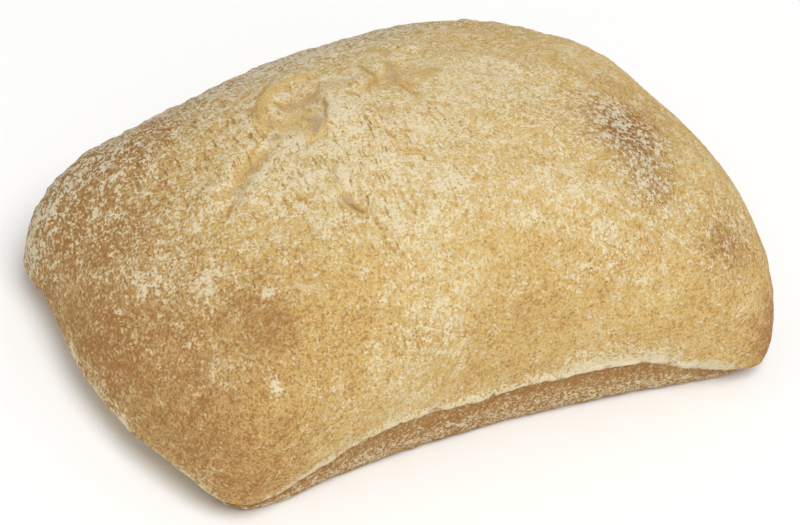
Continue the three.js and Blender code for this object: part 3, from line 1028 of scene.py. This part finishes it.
@dataclass
class Loaf:
    """The loaf itself: one closed mesh over the plain form and the marks of the crust."""

    form: LoafForm = field(default_factory=LoafForm)
    relief: CrustRelief = field(default_factory=CrustRelief)
    stains: BurstStains = field(default_factory=BurstStains)
    colouring: CrustColouring = field(default_factory=CrustColouring)
    cells: int = 140
    band_rows: int = 12
    gathering: float = 0.32
    gather_column: float = -0.12
    gather_row: float = 0.0
    lip_moves_from: float = 0.94
    band_grit: float = 1.5

    def stops(self, place: float) -> Array:
        """Stops along the square from -1 to 1, closer together about a place.

        Args:
            place: where they are closest, -1 to 1.

        Returns:
            The stops in order.
        """
        even = np.linspace(-1, 1, 2 * self.cells + 1)
        shift = np.sin(np.pi * (even - place)) + math.sin(math.pi * place)
        stops = even - self.gathering / math.pi * shift
        stops[[0, -1]] = -1, 1
        return stops

    def middle(self) -> Array:
        """The middle of the plain form's box in plan, which the origin is moved to.

        Returns:
            The point in millimetres, at the height of the base.
        """
        even = np.linspace(-1, 1, 2 * self.cells + 1)
        points = self.form.upper_crust(*(a.ravel() for a in np.meshgrid(even, even))).points
        middle = (points.min(0) + points.max(0)) / 2
        middle[2] = 0
        return middle

    def build(self) -> bpy.types.Object:
        """Builds the loaf's mesh.

        Returns:
            The loaf, in metres, with the states of its crust as attributes.
        """
        across = 2 * self.cells + 1
        grid_s, grid_t = np.meshgrid(self.stops(self.gather_column), self.stops(self.gather_row))
        s, t = grid_s.ravel(), grid_t.ravel()
        crust = self.form.upper_crust(s, t)
        middle = self.middle()
        plain = crust.points - middle
        relief = self.relief.height(plain, crust.ring, crust.lip)
        upper = plain + self.form.normals(s, t) * relief[:, None]
        drop = self.relief.lip.shift(plain, crust.lip)
        upper[:, 2] += drop * ease_in(crust.ring, self.lip_moves_from, 1)

        edge = self.edge_numbers(across)
        depths = np.arange(self.band_rows + 1) / self.band_rows
        lip = crust.only(edge)
        band = [self.band_ring(lip, depth, drop[edge], middle) for depth in depths]
        points = np.concatenate([upper, *band, np.zeros((1, 3))])
        depth = np.concatenate([np.zeros(len(upper)), np.repeat(depths, len(edge)), [1.0]])

        mesh = bpy.data.meshes.new("ciabatta_crust")
        mesh.from_pydata((points * MM).tolist(), [], self.faces(across, edge, len(points) - 1))
        mesh.update()
        mesh.polygons.foreach_set("use_smooth", np.ones(len(mesh.polygons), bool))
        self.note_states(mesh, points, crust, depth)
        loaf = bpy.data.objects.new("ciabatta_crust", mesh)
        bpy.context.scene.collection.objects.link(loaf)
        return loaf

    def band_ring(self, lip: CrustPoints, depth: float, drop: Array, middle: Array) -> Array:
        """One ring of the band's points, with grit on it.

        Args:
            lip: the plain upper crust's points at the lip.
            depth: 0 at the band's root under the lip, 1 at the edge of the base.
            drop: how far the lip's edge has moved up or down.
            middle: the middle of the plain form, which the origin is moved to.

        Returns:
            The ring's points in millimetres.
        """
        ring = self.form.band(lip, depth) - middle
        ring[:, 2] += drop * (1 - depth) ** 2
        outward = np.stack([lip.unit_x, lip.unit_y, np.zeros(len(drop))], -1)
        outward /= np.linalg.norm(outward, axis=-1, keepdims=True)
        rough = self.band_grit * self.relief.grit(ring) * math.sin(depth * math.pi)
        return ring + outward * rough[:, None]

    def edge_numbers(self, across: int) -> Array:
        """The numbers of the points round the upper crust's edge, in order.

        Args:
            across: how many points its grid has each way.

        Returns:
            Each point once, counter-clockwise from the front left corner.
        """
        last = across - 1
        run = np.arange(last)
        return np.concatenate([run, run * across + last, last * across + last - run, (last - run) * across])

    def faces(self, across: int, edge: Array, foot: int) -> list[list[int]]:
        """Every face of the mesh: the upper crust's grid, the band's rings and the fan of the base.

        Args:
            across: how many points the grid has each way.
            edge: the numbers of the points round the grid's edge.
            foot: the number of the point in the middle of the base.

        Returns:
            Each face's corner numbers.
        """
        start = (np.arange(across - 1)[:, None] * across + np.arange(across - 1)).ravel()
        quads = [np.stack([start, start + 1, start + across + 1, start + across], -1)]
        below = across**2 + np.arange((self.band_rows + 1) * len(edge)).reshape(-1, len(edge))
        rings = [edge, *below]
        for upper, lower in zip(rings, rings[1:]):
            quads.append(np.stack([upper, lower, np.roll(lower, -1), np.roll(upper, -1)], -1))
        fan = np.stack([rings[-1], np.full(len(edge), foot), np.roll(rings[-1], -1)], -1)
        return [*np.concatenate(quads).tolist(), *fan.tolist()]

    def note_states(self, mesh: bpy.types.Mesh, points: Array, crust: CrustPoints, depth: Array) -> None:
        """Writes what happened to each place of the crust on the mesh, for its finish.

        Args:
            mesh: the loaf's mesh.
            points: its points in millimetres.
            crust: the plain upper crust.
            depth: how far down the band each point is, 0 on the upper crust.
        """
        crust_count = len(crust.points)
        stains, colouring = self.stains, self.colouring
        x, y = stains.frayed(points)
        upper = np.zeros(len(points))
        upper[:crust_count] = 1
        lip = np.zeros(len(points))
        lip[:crust_count] = colouring.on_lip(crust)
        tone = colouring.amount(colouring.bare_tone, colouring.tones, points)
        flour = colouring.amount(colouring.bare_flour, colouring.flours + colouring.clusters, points)
        dust = colouring.above_lip(crust, colouring.lip_dust_tall, colouring.lip_dust_soft)
        flour[:crust_count] += colouring.lip_dust * dust
        rough = colouring.amount(1.0, colouring.roughs, points)
        wrinkled = colouring.amount(0.0, colouring.wrinkles, points)
        # brown rims and steps with painted shade, and painted shade in the cracks
        edges = np.maximum(stains.cover(stains.edges, x, y), stains.crack_shade_dots(points[:, 0], points[:, 1]))
        states = {
            CrustState.TONE: mix(colouring.band_tone, tone, upper),
            CrustState.FLOUR: mix(colouring.on_band(depth), flour, upper),
            CrustState.GILDED: stains.cover(stains.gilded, x, y) * upper,
            CrustState.CREAM: stains.cover(stains.cream, x, y) * upper,
            CrustState.GREY: stains.cover(stains.grey, x, y) * upper,
            CrustState.EDGE: edges * upper,
            CrustState.WRINKLED: np.clip(wrinkled, 0, 1) * upper,
            CrustState.LIP: lip,
            CrustState.ROUGH: mix(colouring.band_rough, rough, upper),
            CrustState.BAND: 1 - upper,
        }
        for state, values in states.items():
            layer = mesh.attributes.new(state.value, "FLOAT", "POINT")
            layer.data.foreach_set("value", values.astype(np.float32))


# ---- Finishes ----


@dataclass(frozen=True)
class Noise:
    """A noise: the size of its lumps, how many finer sizes it has, and how strong those are."""

    size: float
    detail: float
    rough: float = 0.6


@dataclass
class NodeBench:
    """A material's node tree, with short ways to add nodes and join them, and its ingredients by name."""

    material: bpy.types.Material
    kept: dict[str, Socket] = field(default_factory=dict)

    def node(self, kind: str, **settings: object) -> bpy.types.Node:
        """A new node of that kind with those settings.

        Args:
            kind: Blender's name of the node.
            settings: its settings by name.

        Returns:
            The node.
        """
        made = self.material.node_tree.nodes.new(kind)
        for name, value in settings.items():
            setattr(made, name, value)
        return made

    def join(self, source: object, target: Socket) -> None:
        """Joins a socket to another, or sets a plain value on it.

        Args:
            source: a socket, a number or a row of numbers.
            target: the socket that takes it.
        """
        if isinstance(source, Socket):
            self.material.node_tree.links.new(source, target)
        else:
            target.default_value = source

    def math(self, operation: str, first: object, second: object, held: bool = False) -> Socket:
        """One sum.

        Args:
            operation: Blender's name of the sum.
            first: a socket or a number.
            second: a socket or a number.
            held: whether the result is held to 0 to 1.

        Returns:
            The result's socket.
        """
        made = self.node("ShaderNodeMath", operation=operation, use_clamp=held)
        self.join(first, made.inputs[0])
        self.join(second, made.inputs[1])
        return made.outputs[0]

    def times(self, first: object, second: object) -> Socket:
        """One socket or number times another."""
        return self.math("MULTIPLY", first, second)

    def total(self, *recipe: tuple[str, float]) -> Socket:
        """The sum of a recipe.

        Args:
            recipe: pairs of a kept ingredient's name and how much of it goes in.

        Returns:
            The sum's socket.
        """
        result: object = 0.0
        for name, amount in recipe:
            made = self.node("ShaderNodeMath", operation="MULTIPLY_ADD")
            for socket, source in zip(made.inputs, (self.kept[name], amount, result)):
                self.join(source, socket)
            result = made.outputs[0]
        return result

    def step(self, value: object, low: float, high: float, to_low: float, to_high: float) -> Socket:
        """A smooth step.

        Args:
            value: the socket to step.
            low: where the step starts.
            high: where it ends, above or below that.
            to_low: the result before the step.
            to_high: the result after it.

        Returns:
            The result's socket.
        """
        made = self.node("ShaderNodeMapRange", interpolation_type="SMOOTHSTEP")
        for socket, source in zip(made.inputs, (value, low, high, to_low, to_high)):
            self.join(source, socket)
        return made.outputs[0]

    def noise(self, place: Socket, noise: Noise) -> Socket:
        """Fractal noise about nought.

        Args:
            place: where, in millimetres.
            noise: which noise.

        Returns:
            A socket of about -0.5 to 0.5.
        """
        made = self.node("ShaderNodeTexNoise", noise_dimensions="3D")
        self.join(place, made.inputs["Vector"])
        made.inputs["Scale"].default_value = 1 / noise.size
        made.inputs["Detail"].default_value = noise.detail
        made.inputs["Roughness"].default_value = noise.rough
        return self.math("SUBTRACT", made.outputs[0], 0.5)

    def granules(self, place: Socket, size: float) -> Socket:
        """Small grains, each with its own random value about nought.

        Args:
            place: where, in millimetres.
            size: how far apart the grains are, in millimetres.

        Returns:
            A socket of about -0.5 to 0.5.
        """
        made = self.node("ShaderNodeTexVoronoi", voronoi_dimensions="3D", feature="F1")
        self.join(place, made.inputs["Vector"])
        made.inputs["Scale"].default_value = 1 / size
        return self.math("SUBTRACT", made.outputs["Color"], 0.5)

    def millimetres(self) -> Socket:
        """The object's own coordinates in millimetres."""
        place = self.node("ShaderNodeTexCoord").outputs["Object"]
        return self.placed("MULTIPLY", place, (1 / MM, 1 / MM, 1 / MM))

    def placed(self, operation: str, place: Socket, by: Triple) -> Socket:
        """The same places moved or stretched along each axis.

        Args:
            operation: ADD or MULTIPLY.
            place: where, in millimetres.
            by: how much along each axis.

        Returns:
            The new places' socket.
        """
        made = self.node("ShaderNodeVectorMath", operation=operation)
        self.join(place, made.inputs[0])
        self.join(by, made.inputs[1])
        return made.outputs[0]

    def blend(self, share: object, first: object, second: object) -> Socket:
        """Mixes two colours.

        Args:
            share: how much of the second.
            first: a colour or a socket.
            second: a colour or a socket.

        Returns:
            The colour's socket.
        """
        made = self.node("ShaderNodeMix", data_type="RGBA")
        self.join(share, made.inputs["Factor"])
        for socket, source in zip((made.inputs[6], made.inputs[7]), (first, second)):
            self.join((*source, 1.0) if isinstance(source, tuple) else source, socket)
        return made.outputs[2]

    def ramp(self, value: Socket, stops: tuple[tuple[float, Colour], ...]) -> Socket:
        """A row of colours.

        Args:
            value: where along the row.
            stops: pairs of a place, 0 to 1, and its colour.

        Returns:
            The colour's socket.
        """
        made = self.node("ShaderNodeValToRGB")
        elements = made.color_ramp.elements
        while len(elements) < len(stops):
            elements.new(0.5)
        for element, (place, colour) in zip(elements, stops):
            element.position = place
            element.color = (*colour, 1.0)
        self.join(value, made.inputs[0])
        return made.outputs[0]


@dataclass(frozen=True)
class Layer:
    """A layer: its recipe, the sums where it starts and is full, and its most and least cover."""

    recipe: Recipe
    start: float
    full: float
    most: float = 1.0
    least: float = 0.0

    def cover(self, bench: NodeBench) -> Socket:
        """How much of the layer each place has."""
        return bench.step(bench.total(*self.recipe), self.start, self.full, self.least, self.most)


@dataclass(frozen=True)
class FlouredCrust:
    """Baked crust under flour: brown to pale gold, with granular cream flour and fine wrinkles, and painted
    shade in its dimples, grooves, hollows, pock and cracks and on steep walls.

    Sizes are in millimetres. A recipe pairs the name of each ingredient, which is a state of the crust or
    something mixed before it, with how much of it goes in.
    """

    dark_brown: Colour = linear(158, 106, 54)
    brown: Colour = linear(171, 121, 66)
    tan: Colour = linear(185, 145, 92)
    gold: Colour = linear(205, 165, 97)
    pale_gold: Colour = linear(216, 182, 112)
    straw: Colour = linear(223, 197, 142)
    cream: Colour = linear(235, 219, 181)
    bright_cream: Colour = linear(243, 233, 208)
    dull_cream: Colour = linear(220, 191, 140)
    thin_flour: Colour = linear(226, 197, 137)
    # greyish tan: partly crumb colour, partly painted shade in the hollows
    grey_tan_and_shade: Colour = linear(193, 164, 127)
    gilding: Colour = linear(224, 191, 122)
    # brown of torn rims, partly baked crust and partly painted shade on steep walls; the darker one is
    # painted shade in the pock and its cracks
    edge_brown_and_shade: Colour = linear(194, 148, 84)
    pit_shade: Colour = linear(158, 116, 72)
    lip_cream: Colour = linear(233, 218, 184)
    baked: tuple[tuple[float, Colour], ...] = (
        (0.0, dark_brown),
        (0.1, brown),
        (0.22, brown),
        (0.34, tan),
        (0.47, gold),
        (0.6, pale_gold),
        (0.76, straw),
        (0.92, cream),
    )

    fine: Noise = Noise(0.5, 2, 0.7)
    mottled: Noise = Noise(1.2, 3)
    lumpy: Noise = Noise(1.56, 3, 0.65)
    gritty: Noise = Noise(0.9, 2)
    clump: Noise = Noise(3.6, 2)
    cloud: Noise = Noise(14.0, 1)
    toothed: Noise = Noise(1.2, 2)
    wrinkle: Noise = Noise(0.7, 1)
    crumb: float = 0.32
    granule: float = 0.4
    apart: Triple = (37.0, 11.0, 53.0)
    teeth_upright: Triple = (1.0, 1.0, 0.25)
    wrinkle_turn: float = -76.0
    wrinkle_shape: Triple = (0.25, 1.0, 0.25)

    grain: Recipe = (("fine", 1.3), ("mottled", 0.8))
    specks: Recipe = (("granules", 0.9), ("granules_on_band", 0.3), ("fine_apart", 0.9))
    lumps: Recipe = (("lumpy", 1.2), ("lumpy_on_band", -0.7), ("gritty_where_coarse", 1.9))
    drifts: Recipe = (("clump", 0.85), ("clump_on_band", -0.5), ("cloud", 0.25))
    dusting: Recipe = (
        ("flour", 0.72),
        ("streaks_where_wrinkled", 0.8),
        ("cream", 0.5),
        ("edge", -0.5),
        ("stretched", -0.6),
        ("groove", -0.3),
    )
    # the grain that lifts and sinks the bump also darkens the dimples: partly mottled crust, partly painted
    # shade
    speckle: Recipe = (("grain", 1.0), ("crumbs", 0.45))
    # the wrinkles' grooves darken the crust: painted shade, with less flour in them
    browning: Recipe = (("tone", 1.0), ("speckle", 1.0), ("clump", 0.24), ("cloud", 0.28), ("groove", -0.24))
    teeth: Recipe = (("toothed", 3.0), ("grain", 1.3))
    grit: Recipe = (("specks", 0.22), ("lumps", 0.35), ("grain", 1.0), ("crumbs", 0.12))
    height: Recipe = (("floured", 0.12), ("roughened_grit", 1.0), ("groove", -0.5))

    grooved: Layer = Layer((("streaks", 1.0),), -0.11, -0.2)
    speckled: Layer = Layer((("tone", 1.0),), 0.15, 0.5, 0.75, 0.4)
    film: Layer = Layer(
        (("dusting", 1.0), ("specks", 1.0), ("lumps", 0.6), ("drifts", 0.5)), 0.06, 0.36, 0.42
    )
    heaps: Layer = Layer(
        (("dusting", 1.0), ("specks", 0.9), ("lumps", 1.0), ("drifts", 0.9)), 0.27, 0.41, 0.95
    )
    browned: Layer = Layer((("tone", 1.0),), 0.6, 0.25)
    thinly_heaped: Layer = Layer(
        (("dusting", 1.0), ("specks", 0.5), ("lumps", 1.0), ("drifts", 0.9), ("coarse", 0.25)), 0.62, 0.4
    )
    # painted shade: greyish tan spots darken the hollows, with some crumb colour
    grey_spots_and_shade: Layer = Layer((("grey", 1.0), ("grain", 1.4), ("specks", 1.3)), 0.3, 0.9, 0.75)
    # partly painted shade: brown on steep walls and rims, darkest in the pock and cracks
    brown_and_shaded_edges: Layer = Layer((("edge", 1.0), ("grain", 1.1)), 0.3, 0.8, 0.7)
    shaded_pits: Layer = Layer((("edge", 1.0),), 0.85, 1.15)
    near_lip: Layer = Layer((("lip", 1.0),), 0.0, 0.2)
    pale_lip: Layer = Layer((("lip", 1.0), ("ragged", 1.0)), 0.5, 0.85, 0.85)

    gilded_share: float = 0.7
    brightened_share: float = 0.5
    bump_height: float = 0.35
    roughness: float = 0.9
    specular: float = 0.25

    def material(self) -> bpy.types.Material:
        """Makes the finish.

        Returns:
            The finished material.
        """
        made = bpy.data.materials.new("floured_crust")
        made.use_nodes = True
        made.node_tree.nodes.clear()
        bench = NodeBench(made)
        self.gather(bench)
        self.dress(bench)

        bump = bench.node("ShaderNodeBump")
        bump.inputs["Strength"].default_value = 1.0
        bump.inputs["Distance"].default_value = self.bump_height * MM
        bench.join(bench.total(*self.height), bump.inputs["Height"])

        shader = bench.node("ShaderNodeBsdfPrincipled")
        shader.inputs["Roughness"].default_value = self.roughness
        shader.inputs["Specular IOR Level"].default_value = self.specular
        bench.join(self.colour(bench), shader.inputs["Base Color"])
        bench.join(bump.outputs[0], shader.inputs["Normal"])
        bench.join(shader.outputs[0], bench.node("ShaderNodeOutputMaterial").inputs[0])
        return made

    def gather(self, bench: NodeBench) -> None:
        """Puts the crust's states, as the mesh has them, and its noises on the bench.

        Args:
            bench: the material's nodes.
        """
        kept = bench.kept
        for state in CrustState:
            kept[state.value] = bench.node("ShaderNodeAttribute", attribute_name=state.value).outputs["Fac"]
        place = bench.millimetres()
        apart = bench.placed("ADD", place, self.apart)
        upright = bench.placed("MULTIPLY", place, self.teeth_upright)
        kept["fine"] = bench.noise(place, self.fine)
        kept["mottled"] = bench.noise(place, self.mottled)
        kept["toothed"] = bench.noise(upright, self.toothed)
        kept["streaks"] = bench.noise(self.across_loaf(bench, place), self.wrinkle)
        kept["crumbs"] = bench.granules(place, self.crumb)
        kept["granules"] = bench.granules(apart, self.granule)
        kept["fine_apart"] = bench.noise(apart, self.fine)
        for name in ("lumpy", "gritty", "clump", "cloud"):
            kept[name] = bench.noise(apart, getattr(self, name))
        for name in ("granules", "lumpy", "clump"):
            kept[f"{name}_on_band"] = bench.times(kept[name], kept["band"])

    def dress(self, bench: NodeBench) -> None:
        """Mixes the grain, the wrinkles, the lumps and the layers of flour from what was gathered.

        Args:
            bench: the material's nodes.
        """
        kept = bench.kept
        kept["coarse"] = bench.math("SUBTRACT", kept["rough"], 1.0, held=True)
        kept["gritty_where_coarse"] = bench.times(kept["gritty"], kept["coarse"])
        # the wrinkles' grooves, which also carry painted shade into the colour
        kept["groove"] = bench.times(self.grooved.cover(bench), kept["wrinkled"])
        kept["streaks_where_wrinkled"] = bench.times(kept["streaks"], kept["wrinkled"])
        # less flour where the dough is stretched and where shade is painted in the hollows
        kept["stretched"] = bench.math("MAXIMUM", kept["gilded"], kept["grey"])
        for name in ("grain", "specks", "lumps", "drifts", "dusting"):
            kept[name] = bench.total(*getattr(self, name))
        for name in ("film", "heaps"):
            kept[name] = getattr(self, name).cover(bench)
        kept["floured"] = bench.math("MAXIMUM", kept["film"], kept["heaps"])
        kept["speckle"] = bench.times(bench.total(*self.speckle), self.speckled.cover(bench))
        kept["ragged"] = bench.times(self.near_lip.cover(bench), bench.total(*self.teeth))
        kept["roughened_grit"] = bench.times(bench.total(*self.grit), kept["rough"])

    def colour(self, bench: NodeBench) -> Socket:
        """Lays the flour, the stains, the painted shade of the hollows, walls and cracks, and the pale lip
        over the baked crust.

        Args:
            bench: the material's nodes, with every ingredient kept.

        Returns:
            The colour's socket.
        """
        kept = bench.kept
        crust = bench.ramp(bench.total(*self.browning), self.baked)
        crust = bench.blend(bench.times(kept["gilded"], self.gilded_share), crust, self.gilding)
        cream = bench.blend(bench.times(kept["coarse"], self.brightened_share), self.cream, self.bright_cream)
        dull = bench.times(self.browned.cover(bench), self.thinly_heaped.cover(bench))
        flour = bench.blend(dull, cream, self.dull_cream)
        # brown rims with painted shade, and painted shade in the pock and cracks
        edge = bench.blend(self.shaded_pits.cover(bench), self.edge_brown_and_shade, self.pit_shade)
        colour = bench.blend(kept["film"], crust, self.thin_flour)
        colour = bench.blend(kept["heaps"], colour, flour)
        # painted shade in the hollows, partly greyish tan crumb
        colour = bench.blend(self.grey_spots_and_shade.cover(bench), colour, self.grey_tan_and_shade)
        colour = bench.blend(self.brown_and_shaded_edges.cover(bench), colour, edge)
        return bench.blend(self.pale_lip.cover(bench), colour, self.lip_cream)

    def across_loaf(self, bench: NodeBench, place: Socket) -> Socket:
        """The places turned and stretched, so that noise there makes streaks across the loaf.

        Args:
            bench: the material's nodes.
            place: where, in millimetres.

        Returns:
            The stretched places' socket.
        """
        turned = bench.node("ShaderNodeMapping", vector_type="POINT")
        bench.join(place, turned.inputs["Vector"])
        turned.inputs["Rotation"].default_value = (0.0, 0.0, math.radians(self.wrinkle_turn))
        return bench.placed("MULTIPLY", turned.outputs[0], self.wrinkle_shape)


# ---- The studio ----


@dataclass(frozen=True)
class PaleFloor:
    """A plain pale floor, wide enough to fill the view."""

    half_width: float = 3.0
    colour: Colour = (0.93, 0.93, 0.925)
    roughness: float = 0.9
    specular: float = 0.1

    def build(self) -> bpy.types.Object:
        """Builds the floor under the loaf.

        Returns:
            The floor.
        """
        half = self.half_width
        mesh = bpy.data.meshes.new("floor")
        corners = [(-half, -half, 0), (half, -half, 0), (half, half, 0), (-half, half, 0)]
        mesh.from_pydata(corners, [], [(0, 1, 2, 3)])
        mesh.materials.append(self.material())
        floor = bpy.data.objects.new("floor", mesh)
        bpy.context.scene.collection.objects.link(floor)
        return floor

    def material(self) -> bpy.types.Material:
        """Makes the floor's matte finish.

        Returns:
            The material.
        """
        made = bpy.data.materials.new("pale_floor")
        made.use_nodes = True
        shader = made.node_tree.nodes["Principled BSDF"]
        shader.inputs["Base Color"].default_value = (*self.colour, 1.0)
        shader.inputs["Roughness"].default_value = self.roughness
        shader.inputs["Specular IOR Level"].default_value = self.specular
        return made


@dataclass(frozen=True)
class StudioLight:
    """Soft light from all round, and one wide soft lamp above."""

    all_round: float = 0.58
    all_round_colour: Colour = (1.0, 1.0, 1.0)
    lamp_power: float = 14.0
    lamp_size: float = 0.9
    lamp_place: Triple = (-0.2, -0.6, 1.35)

    def build(self) -> None:
        """Sets the light of the room and hangs the lamp."""
        world = bpy.data.worlds.new("studio")
        world.use_nodes = True
        background = world.node_tree.nodes["Background"]
        background.inputs["Color"].default_value = (*self.all_round_colour, 1.0)
        background.inputs["Strength"].default_value = self.all_round
        bpy.context.scene.world = world
        lamp = bpy.data.lights.new("softbox", "AREA")
        lamp.shape = "DISK"
        lamp.size = self.lamp_size
        lamp.energy = self.lamp_power
        hung = bpy.data.objects.new("softbox", lamp)
        hung.location = self.lamp_place
        hung.rotation_mode = "QUATERNION"
        hung.rotation_quaternion = (-Vector(self.lamp_place)).to_track_quat("-Z", "Y")
        bpy.context.scene.collection.objects.link(hung)


@dataclass(frozen=True)
class Viewpoint:
    """Where the loaf is seen from: turned left, looking down, with the view tilted.

    Angles are in degrees, the distance and the aim in millimetres, and the lens in the picture's pixels.
    """

    azimuth: float = -43.99
    elevation: float = 42.24
    tilt: float = -11.46
    distance: float = 540.0
    aim: Triple = (1.32, -3.32, 19.0)
    pixels_per_mm: float = 5.71
    aim_pixel: Place = (415.5, 235.2)
    frame_width: int = 800
    frame_height: int = 525
    sensor_width: float = 36.0
    nearest: float = 0.01
    farthest: float = 20.0

    def build(self) -> None:
        """Sets up the scene's camera."""
        azimuth, elevation, tilt = (math.radians(v) for v in (self.azimuth, self.elevation, self.tilt))
        level = Vector((math.cos(azimuth), math.sin(azimuth), 0))
        back = Vector((math.sin(azimuth), -math.cos(azimuth), 0)) * math.cos(elevation)
        back.z = math.sin(elevation)
        right = level * math.cos(tilt) - back.cross(level) * math.sin(tilt)
        up = back.cross(right)
        focal = self.pixels_per_mm * self.distance
        aside = self.frame_width / 2 - self.aim_pixel[0]
        above = self.aim_pixel[1] - self.frame_height / 2
        place = (Vector(self.aim) + back * self.distance) * MM
        back = (back * focal - right * aside - up * above).normalized()
        right = (right - back * right.dot(back)).normalized()
        lens = bpy.data.cameras.new("camera")
        lens.sensor_width = self.sensor_width
        lens.lens = focal / self.frame_width * self.sensor_width
        lens.clip_start, lens.clip_end = self.nearest, self.farthest
        camera = bpy.data.objects.new("camera", lens)
        turned = Matrix((right, back.cross(right), back)).transposed().to_4x4()
        camera.matrix_world = Matrix.Translation(place) @ turned
        bpy.context.scene.collection.objects.link(camera)
        bpy.context.scene.camera = camera


def main() -> None:
    """Builds the loaf, its floor, its light and its camera."""
    logging.basicConfig(level=logging.INFO)
    bpy.context.scene.view_settings.view_transform = "Standard"
    loaf = Loaf().build()
    loaf.data.materials.append(FlouredCrust().material())
    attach(loaf, "root")
    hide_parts("ciabatta")
    floor = PaleFloor().build()
    StudioLight().build()
    Viewpoint().build()
    for piece in (loaf, floor):
        LOG.info("%s: %d faces", piece.name, len(piece.data.polygons))


if __name__ == "__main__":
    main()
